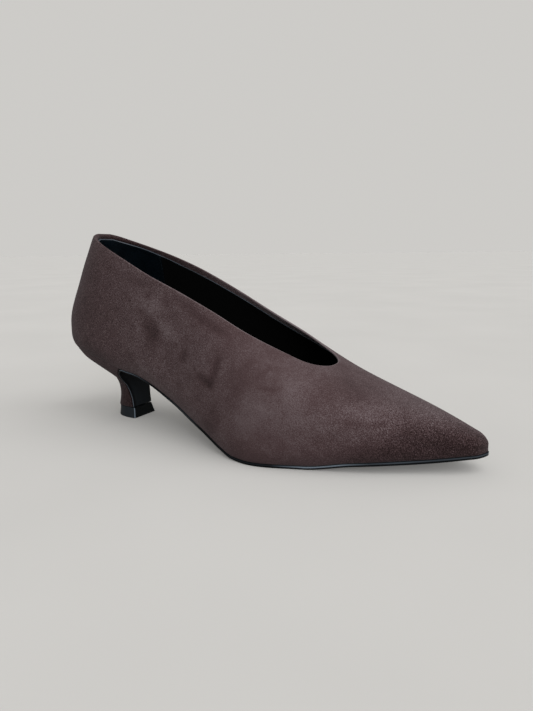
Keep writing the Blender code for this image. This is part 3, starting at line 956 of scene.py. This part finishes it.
def leatherette(name, colour, roughness, grain_mm, specular=0.5):
    """Coated black leatherette, pressed with a fine pebble: dark, with a soft cool shine off the coating."""
    material, tree, shader, coords = new_material(name)
    pebble = add_node(tree, "ShaderNodeTexVoronoi", {"Scale": 1 / (grain_mm * MM)}, {"Vector": coords})
    haze = add_node(tree, "ShaderNodeTexNoise", {"Scale": 1 / (12 * MM), "Detail": 3.0}, {"Vector": coords})
    shades = ((0.35, colour), (0.75, tinted(colour, 2.2)))
    face = add_node(tree, "ShaderNodeValToRGB", links={"Fac": haze.outputs["Fac"]}, stops=shades)
    tree.links.new(face.outputs["Color"], shader.inputs["Base Color"])
    span = {"To Min": roughness - 0.06, "To Max": roughness + 0.10}
    gloss = add_node(tree, "ShaderNodeMapRange", span, {"Value": haze.outputs["Fac"]})
    tree.links.new(gloss.outputs["Result"], shader.inputs["Roughness"])
    depth = {"Strength": 0.25, "Distance": 0.1 * MM}
    bump = add_node(tree, "ShaderNodeBump", depth, {"Height": pebble.outputs["Distance"]})
    tree.links.new(bump.outputs["Normal"], shader.inputs["Normal"])
    set_values(shader, {"Specular IOR Level": specular})
    return material


def lining_cloth(name, colour):
    """Black tricot lining, warp-knitted and matt. Its ribs are under 1 mm apart and too fine to show, so they
    are drawn about 1.6 mm apart."""
    material, tree, shader, coords = new_material(name)
    knit = {"Scale": 1 / (5 * MM), "Distortion": 0.6, "Detail": 2.0}
    ribs = add_node(tree, "ShaderNodeTexWave", knit, {"Vector": coords}, bands_direction="X")
    fluff = add_node(tree, "ShaderNodeTexNoise", {"Scale": 1 / (1.5 * MM), "Detail": 2.0}, {"Vector": coords})
    shades = ((0.3, colour), (0.8, tinted(colour, 2.0)))
    face = add_node(tree, "ShaderNodeValToRGB", links={"Fac": fluff.outputs["Fac"]}, stops=shades)
    tree.links.new(face.outputs["Color"], shader.inputs["Base Color"])
    depth = {"Strength": 0.2, "Distance": 0.15 * MM}
    bump = add_node(tree, "ShaderNodeBump", depth, {"Height": ribs.outputs["Fac"]})
    tree.links.new(bump.outputs["Normal"], shader.inputs["Normal"])
    set_values(shader, {"Roughness": 1.0, "Specular IOR Level": 0.08})
    return material


def sole_sheet(name, colour, highlight_colour, roughness, scuff_mm):
    """Injection-moulded black sole rubber, trimmed at the edge: a satin face with fine scuffs, and a cool
    bright line where the rounded edge turns to the light. That line is a painted highlight, mixed into the
    base colour by the shine attribute."""
    material, tree, shader, coords = new_material(name)
    wear = {"Scale": 1 / (scuff_mm * MM), "Detail": 5.0, "Roughness": 0.65}
    scuffs = add_node(tree, "ShaderNodeTexNoise", wear, {"Vector": coords})
    pores = add_node(tree, "ShaderNodeTexNoise", {"Scale": 1 / (0.6 * MM), "Detail": 2.0}, {"Vector": coords})
    shine = add_node(tree, "ShaderNodeAttribute", attribute_name="shine")
    shades = ((0.4, colour), (0.85, tinted(colour, 2.0)))
    face = add_node(tree, "ShaderNodeValToRGB", links={"Fac": scuffs.outputs["Fac"]}, stops=shades)
    layers = {0: shine.outputs["Fac"], 6: face.outputs["Color"]}
    # The shine attribute mixes in the painted highlight colour along the rounded edges
    mixed = add_node(tree, "ShaderNodeMix", {7: highlight_colour}, layers, data_type="RGBA")
    tree.links.new(mixed.outputs[2], shader.inputs["Base Color"])
    span = {"To Min": roughness - 0.08, "To Max": roughness + 0.14}
    gloss = add_node(tree, "ShaderNodeMapRange", span, {"Value": scuffs.outputs["Fac"]})
    tree.links.new(gloss.outputs["Result"], shader.inputs["Roughness"])
    depth = {"Strength": 0.12, "Distance": 0.1 * MM}
    bump = add_node(tree, "ShaderNodeBump", depth, {"Height": pores.outputs["Fac"]})
    tree.links.new(bump.outputs["Normal"], shader.inputs["Normal"])
    set_values(shader, {"Specular IOR Level": 0.03})
    return material


def studio_floor(name, colour):
    """Matt acrylic studio table: pale, faintly mottled, lit a little from below so that shadows stay soft."""
    material, tree, shader, coords = new_material(name)
    patches = {"Scale": 1 / (180 * MM), "Detail": 3.0}
    mottle = add_node(tree, "ShaderNodeTexNoise", patches, {"Vector": coords})
    shades = ((0.3, tinted(colour, 0.94)), (0.7, colour))
    face = add_node(tree, "ShaderNodeValToRGB", links={"Fac": mottle.outputs["Fac"]}, stops=shades)
    tree.links.new(face.outputs["Color"], shader.inputs["Base Color"])
    set_values(shader, {"Roughness": 1.0, "Specular IOR Level": 0.0})
    set_values(shader, {"Emission Color": linear(AIR), "Emission Strength": FLOOR_GLOW})
    return material


def stitch_tree(material):
    """Geometry nodes that lay thread stitches along a path."""
    tree = bpy.data.node_groups.new("lining_stitches", "GeometryNodeTree")
    tree.interface.new_socket("Path", in_out="INPUT", socket_type="NodeSocketGeometry")
    inputs = {}
    for label in ("Stitch pitch", "Stitch length", "Thread width"):
        socket = tree.interface.new_socket(label, in_out="INPUT", socket_type="NodeSocketFloat")
        inputs[label] = socket.identifier
    tree.interface.new_socket("Stitches", in_out="OUTPUT", socket_type="NodeSocketGeometry")
    given = add_node(tree, "NodeGroupInput").outputs
    walk = {"Curve": given["Path"], "Length": given["Stitch pitch"]}
    spots = add_node(tree, "GeometryNodeCurveToPoints", links=walk, mode="LENGTH")
    heading = {"Vector": spots.outputs["Tangent"]}
    turn = add_node(tree, "FunctionNodeAlignRotationToVector", links=heading, axis="X")
    thread = add_node(tree, "GeometryNodeMeshUVSphere", {"Segments": 8, "Rings": 6, "Radius": 0.5})
    sides = {"X": given["Stitch length"], "Y": given["Thread width"], "Z": given["Thread width"]}
    size = add_node(tree, "ShaderNodeCombineXYZ", links=sides)
    laid = add_node(
        tree,
        "GeometryNodeInstanceOnPoints",
        links={
            "Points": spots.outputs["Points"],
            "Instance": thread.outputs["Mesh"],
            "Rotation": turn.outputs["Rotation"],
            "Scale": size.outputs["Vector"],
        },
    )
    real = add_node(tree, "GeometryNodeRealizeInstances", links={"Geometry": laid.outputs["Instances"]})
    threads = {"Geometry": real.outputs["Geometry"]}
    sewn = add_node(tree, "GeometryNodeSetMaterial", {"Material": material}, threads)
    add_node(tree, "NodeGroupOutput", links={"Stitches": sewn.outputs["Geometry"]})
    return tree, inputs


def length(label, description, size_mm):
    """A size that a user can change, given in millimetres."""
    return FloatProperty(name=label, description=description, default=size_mm * MM, unit="LENGTH")


def paint(label, description, hex_colour):
    """A colour that a user can change, given as an sRGB hex value."""
    colour = linear(hex_colour)
    return FloatVectorProperty(name=label, description=description, size=4, subtype="COLOR", default=colour)


class PumpSizes(bpy.types.PropertyGroup):
    """Sizes of the dressed shoe"""

    skin: length("Suede", "Thickness of the suede with its backing", 1.2)
    band: length("Turned edge", "Width of the suede turned in at the collar", 3.2)
    lining: length("Lining", "Thickness of the lining", 0.6)
    counter: length("Heel grip", "Extra thickness of the heel lining", 0.35)
    seam: length("Lining seam", "Place of the lining seam from the back", 53.4)
    stitch_pitch: length("Stitch pitch", "Distance between stitches", 2.6)
    stitch_length: length("Stitch length", "Length of one stitch", 2.0)
    thread: length("Thread", "Width of the thread", 0.3)
    corner: length("Heel corner", "Rounding of the heel's breast corners", 0.9)


class PumpColours(bpy.types.PropertyGroup):
    """Colours of the dressed shoe and its floor"""

    suede_dark: paint("Suede dark", "Nap brushed away", "#1A0D0D")
    suede_middle: paint("Suede", "Nap at rest", "#3F3031")
    suede_light: paint("Suede light", "Nap brushed towards", "#675D5F")
    bloom: paint("Bloom", "Soft bloom of the fibre tips", "#CCCCD2")
    lint: paint("Lint", "Specks of dust in the nap", "#A89C9A")
    heel_lining: paint("Heel lining", "Leatherette at the back", "#02060A")
    cloth_lining: paint("Cloth lining", "Knitted lining in front", "#010101")
    sock: paint("Sock", "Cover of the insole", "#0E0E11")
    # Painted highlight: the lining's folded top edge is coloured lighter than the black lining for the light
    # it catches
    fold_highlight: paint("Lining fold", "Folded top edge of the lining", "#22282F")
    sole: paint("Outsole", "Sole sheet and breast flap", "#060708")
    # Colour of the painted highlight along the rounded edges of the sole, its flap and the top piece
    painted_edge_highlight: paint("Sole edge", "Burnished edge of the sole", "#808C98")
    top_piece: paint("Top piece", "Top piece under the heel", "#0B0D0E")
    floor: paint("Floor", "Studio floor", "#AEADAB")


class PUMP_OT_upper(bpy.types.Operator):
    """Lasts the suede upper with its turned-in collar edge"""

    bl_idname = "pump.upper"
    bl_label = "Suede upper"

    def execute(self, context):
        sizes, colours = context.scene.pump_sizes, context.scene.pump_colours
        skin = sizes.skin / MM
        points, faces, feather, mouth = weld(*upper_ribs(UPPER_COUNTS, skin / 2))
        pad = padding(points)
        relief = mark_field(points, "depth") - PAD_OUTWARD * pad
        # Marks (some painted shade), a lighter band under the collar, and painted shade low over the sole
        shade = mark_field(points, "shade") + edge_band(points) + painted_hem_shade(points)
        points, faces = shell(points, faces, feather, mouth, relief, skin + pad, (skin + pad[mouth]) / 2)
        piece = add_piece("suede_upper", points, faces, [faux_suede("faux_suede_upper", colours)])
        # Painted shade on the suede's inside and its turned-in band, and a painted highlight on the rolled
        # collar edge
        inside = lookup(TURNED_SHADE, points[:, 0])
        nap = inside.copy()
        nap[: len(shade)] = shade
        turned = np.repeat(np.linspace(0, 1, RIM_STEPS - 1), len(mouth))
        rim = slice(2 * len(shade), None)
        nap[rim] = lookup(RIM_PAINTED_LIGHT, points[rim, 0]) * (1 - turned) + inside[rim] * turned
        put_values(piece, "nap", nap)
        put_values(piece, "grain", lookup(GRAIN, points[:, 0]))
        settle(piece, "upper")
        return {"FINISHED"}


def lining_face(sizes):
    """Face that the lining is laid on, with the depths of its back and front."""
    seam = sizes.seam / MM
    points, faces, feather, mouth = weld(*upper_ribs(LINING_COUNTS, sizes.band / MM))
    back = sizes.skin / MM + GLUE_LINE + padding(points)
    front = back + sizes.lining / MM + np.where(points[:, 0] < seam, sizes.counter / MM, 0.0)
    return points, faces, feather, mouth, back, front


class PUMP_OT_lining(bpy.types.Operator):
    """Lines the inside: cloth in front, leatherette round the heel"""

    bl_idname = "pump.lining"
    bl_label = "Lining"

    def execute(self, context):
        sizes, colours = context.scene.pump_sizes, context.scene.pump_colours
        points, faces, feather, mouth, back, front = lining_face(sizes)
        shape, closed = shell(points, faces, feather, mouth, back, front, sizes.lining / MM / 2)
        cloth = lining_cloth("tricot_lining", colours.cloth_lining)
        coating = {"roughness": 0.36, "grain_mm": 0.9, "specular": 0.3}
        grip = leatherette("leatherette_heel_lining", colours.heel_lining, **coating)
        # The folded top edge gets a lighter copy of the lining: a painted highlight
        fold_highlight = leatherette("leatherette_fold_highlight", colours.fold_highlight, roughness=0.4, grain_mm=0.9)
        piece = add_piece("lining", shape, closed, [cloth, grip, fold_highlight])
        seam = (sizes.seam / MM - ROW_ORIGIN[0]) * MM
        rim_start = len(closed) - RIM_STEPS * len(mouth)
        for polygon in piece.data.polygons:
            polygon.material_index = 2 if polygon.index >= rim_start else int(polygon.center.x < seam)
        settle(piece)
        return {"FINISHED"}


class PUMP_OT_lining_stitches(bpy.types.Operator):
    """Sews the heel lining to the cloth with a row of stitches on each side"""

    bl_idname = "pump.lining_stitches"
    bl_label = "Lining stitches"

    def execute(self, context):
        sizes, colours = context.scene.pump_sizes, context.scene.pump_colours
        points, faces, _, _, _, front = lining_face(sizes)
        surface = points - front[:, None] * point_normals(points, faces)
        row = sizes.seam / MM - STITCH_SET_BACK
        near_row = np.abs(points[:, 0] - row) < STITCH_REACH
        curve = bpy.data.curves.new("stitch_path", "CURVE")
        curve.dimensions = "3D"
        for side in (-1, 1):
            strip = surface[near_row & (side * points[:, 1] > 0)]
            strip = strip[np.argsort(strip[:, 2])]
            foot = feather_height(row) + INSOLE + STITCH_FOOT
            heights = np.linspace(foot, strip[-1, 2] - STITCH_TOP, PATH_POINTS)
            across = np.interp(heights, strip[:, 2], strip[:, 1])
            path = np.stack([np.full(PATH_POINTS, row), across, heights], -1)
            spline = curve.splines.new("POLY")
            spline.points.add(len(path) - 1)
            for spot, place in zip(spline.points, placed(path)):
                spot.co = (*place, 1.0)
        track = bpy.data.objects.new("stitch_path", curve)
        context.scene.collection.objects.link(track)
        wax = {"roughness": 0.7, "grain_mm": 0.3, "specular": 0.2}
        thread = leatherette("waxed_thread", colours.heel_lining, **wax)
        tree, inputs = stitch_tree(thread)
        sewing = track.modifiers.new("sewing", "NODES")
        sewing.node_group = tree
        sewing[inputs["Stitch pitch"]] = sizes.stitch_pitch
        sewing[inputs["Stitch length"]] = sizes.stitch_length
        sewing[inputs["Thread width"]] = sizes.thread
        evaluated = track.evaluated_get(context.evaluated_depsgraph_get())
        mesh = bpy.data.meshes.new_from_object(evaluated)
        track.modifiers.remove(sewing)
        bpy.data.objects.remove(track)
        if not mesh.polygons:
            raise RuntimeError("the lining stitches came out empty")
        mesh.shade_smooth()
        piece = bpy.data.objects.new("lining_stitches", mesh)
        context.scene.collection.objects.link(piece)
        settle(piece)
        return {"FINISHED"}


class PUMP_OT_sock(bpy.types.Operator):
    """Lays the black sock over the insole board"""

    bl_idname = "pump.sock"
    bl_label = "Insole with its sock"

    def execute(self, context):
        sizes, colours = context.scene.pump_sizes, context.scene.pump_colours
        inset = (sizes.skin + sizes.lining + sizes.counter) / MM + GAP
        rows = []
        for s, centre, half in outline_rows(-inset):
            if half > SOCK_LEAST:
                low = feather_height(s)
                rows.append(((s, low + INSOLE), (s, low), centre, half))
        points, faces, _ = strip_piece(rows, SOCK_BEAD, crown=SOCK_CROWN, across=11)
        cover = leatherette("leatherette_sock", colours.sock, roughness=0.5, grain_mm=0.8)
        piece = add_piece("sock", points, faces, [cover], outward=True)
        settle(piece, "insole")
        return {"FINISHED"}


class PUMP_OT_outsole(bpy.types.Operator):
    """Cuts the outsole with its rounded edge and bends its flap down the heel breast"""

    bl_idname = "pump.outsole"
    bl_label = "Outsole and breast flap"

    def execute(self, context):
        colours = context.scene.pump_colours
        points, faces, down = strip_piece(sole_rows(), SOLE_BEAD)
        wear = {"roughness": 0.32, "scuff_mm": 14.0}
        rubber = sole_sheet("moulded_rubber_sole", colours.sole, colours.painted_edge_highlight, **wear)
        piece = add_piece("outsole_sheet", points, faces, [rubber], outward=True)
        put_values(piece, "shine", sole_shine(points, down))
        settle(piece, "outsole")
        return {"FINISHED"}


class PUMP_OT_heel(bpy.types.Operator):
    """Covers the heel block with suede and nails on its top piece"""

    bl_idname = "pump.heel"
    bl_label = "Covered heel and top piece"

    def execute(self, context):
        corner = context.scene.pump_sizes.corner / MM
        self.cover_block(context.scene.pump_colours, corner)
        self.add_top_piece(context.scene.pump_colours, corner)
        return {"FINISHED"}

    def cover_block(self, colours, corner):
        block = heel_rings(
            HEEL_LEVELS,
            np.linspace(0, 1, HEEL_RINGS),
            lambda s: feather_height(s) - GLUE_LINE,
            TIP_HEIGHT + GAP,
            corner,
            lambda up: 0.0,
        )
        points, faces = rings_piece(block)
        cover = add_piece("heel_cover", points, faces, [faux_suede("faux_suede_heel", colours)], outward=True)
        nap = lookup(HEEL_SHADE, points[:, 2]).reshape(len(block), -1)
        # Painted shade on the breast and its corners, which show only in the gap behind the flap
        nap[:, :BREAST_POINTS] = nap[:, 1 - BREAST_POINTS :] = BREAST_SHADE
        put_values(cover, "nap", nap.ravel())
        put_values(cover, "grain", np.full(len(points), HEEL_GRAIN))
        settle(cover, "heel")

    def add_top_piece(self, colours, corner):
        def pinch(up):
            edge = min(up, 1 - up) / TIP_BEVEL
            return TIP_PINCH * (1 - min(1.0, edge)) ** 2

        foot = np.linspace(0, TIP_BEVEL, TIP_BEVEL_RINGS)
        wall = np.linspace(TIP_BEVEL, 1 - TIP_BEVEL, TIP_WALL_RINGS)[1:-1]
        head = np.linspace(1 - TIP_BEVEL, 1, TIP_BEVEL_RINGS)
        heights = np.concatenate([foot, wall, head])
        lift = heel_rings(TIP_LEVELS, heights, lambda s: np.full_like(s, TIP_HEIGHT), 0.0, corner, pinch)
        points, faces = rings_piece(lift)
        wear = {"roughness": 0.4, "scuff_mm": 6.0}
        rubber = sole_sheet("moulded_top_piece", colours.top_piece, colours.painted_edge_highlight, **wear)
        tip = add_piece("top_piece", points, faces, [rubber], outward=True)
        light = np.full(len(lift[0]), TIP_SHINE)
        light[: BREAST_FLAT + 1] = light[-BREAST_FLAT:] = 0.0
        for k, bright in enumerate(TIP_CORNER_SHINE, BREAST_FLAT + 2):
            light[[k, -k]] = bright
        shine = np.tile(light, (len(lift), 1))
        shine[[0, -1]] = 0.0
        put_values(tip, "shine", shine.ravel())
        settle(tip, "heel_tip")


class PUMP_OT_stage(bpy.types.Operator):
    """Sets the pale floor, the soft lights and the camera"""

    bl_idname = "pump.stage"
    bl_label = "Studio"

    def execute(self, context):
        scene = context.scene
        self.add_floor(scene)
        self.add_lights(scene)
        self.add_camera(scene)
        return {"FINISHED"}

    def add_floor(self, scene):
        """Wide round floor that runs out to the pale air, the same from every side."""
        turns = np.arange(FLOOR_TURNS) * 2 * math.pi / FLOOR_TURNS
        points = [(r * math.cos(a), r * math.sin(a), 0.0) for r in FLOOR_RADII for a in turns]
        faces = [tuple(range(FLOOR_TURNS))]
        rings = np.arange(len(points)).reshape(len(FLOOR_RADII), -1).tolist()
        for inner, outer in zip(rings, rings[1:]):
            faces += ring_faces(outer, inner)
        mesh = bpy.data.meshes.new("studio_floor")
        mesh.from_pydata(points, [], faces)
        mesh.materials.append(studio_floor("acrylic_studio_table", scene.pump_colours.floor))
        floor = bpy.data.objects.new("studio_floor", mesh)
        scene.collection.objects.link(floor)

    def add_lights(self, scene):
        world = bpy.data.worlds.new("studio_air")
        world.use_nodes = True
        air = world.node_tree.nodes["Background"]
        set_values(air, {"Color": linear(AIR), "Strength": AIR_STRENGTH})
        scene.world = world
        for name, strength, spread, colour, place, aim in LAMPS:
            light = bpy.data.lights.new(name, "SUN")
            light.energy = strength
            light.angle = math.radians(spread)
            light.color = linear(colour)[:3]
            lamp = bpy.data.objects.new(name, light)
            lamp.location = place
            lamp.rotation_euler = (Vector(aim) - Vector(place)).to_track_quat("-Z", "Y").to_euler()
            scene.collection.objects.link(lamp)

    def add_camera(self, scene):
        azimuth, elevation, roll = (math.radians(v) for v in (CAMERA_AZIMUTH, CAMERA_ELEVATION, CAMERA_ROLL))
        right = Vector((math.cos(azimuth), math.sin(azimuth), 0.0))
        level = math.cos(elevation)
        ahead = Vector((-math.sin(azimuth) * level, math.cos(azimuth) * level, -math.sin(elevation)))
        up = right.cross(ahead)
        rolled_right = right * math.cos(roll) + up * math.sin(roll)
        rolled_up = up * math.cos(roll) - right * math.sin(roll)
        data = bpy.data.cameras.new("photo_camera")
        data.sensor_width = SENSOR
        data.lens = FOCAL_PIXELS * SENSOR / PHOTO_SIDE
        data.clip_start = NEAREST_SEEN
        camera = bpy.data.objects.new("photo_camera", data)
        turn = Matrix((rolled_right, rolled_up, -ahead)).transposed().to_4x4()
        camera.matrix_world = Matrix.Translation(Vector(placed(CAMERA_PLACE))) @ turn
        scene.collection.objects.link(camera)
        scene.camera = camera
        scene.view_settings.view_transform = "Standard"


class PUMP_PT_sidebar(bpy.types.Panel):
    """Lists the shoe's pieces, sizes and colours"""

    bl_idname = "PUMP_PT_sidebar"
    bl_label = "Pointed-toe pump"
    bl_space_type = "VIEW_3D"
    bl_region_type = "UI"
    bl_category = "Pump"

    def draw(self, context):
        for piece in PIECES:
            self.layout.operator(piece.bl_idname)
        for group in (context.scene.pump_sizes, context.scene.pump_colours):
            for name in group.__annotations__:
                self.layout.prop(group, name)


PIECES = (
    PUMP_OT_upper,
    PUMP_OT_lining,
    PUMP_OT_lining_stitches,
    PUMP_OT_sock,
    PUMP_OT_outsole,
    PUMP_OT_heel,
    PUMP_OT_stage,
)
CLASSES = (PumpSizes, PumpColours, *PIECES, PUMP_PT_sidebar)


def register():
    for made in CLASSES:
        bpy.utils.register_class(made)
    bpy.types.Scene.pump_sizes = PointerProperty(type=PumpSizes)
    bpy.types.Scene.pump_colours = PointerProperty(type=PumpColours)


def unregister():
    del bpy.types.Scene.pump_colours
    del bpy.types.Scene.pump_sizes
    for made in reversed(CLASSES):
        bpy.utils.unregister_class(made)


def main():
    register()
    bpy.ops.pump.upper()
    bpy.ops.pump.lining()
    bpy.ops.pump.lining_stitches()
    bpy.ops.pump.sock()
    bpy.ops.pump.outsole()
    bpy.ops.pump.heel()
    bpy.ops.pump.stage()


if __name__ == "__main__":
    main()
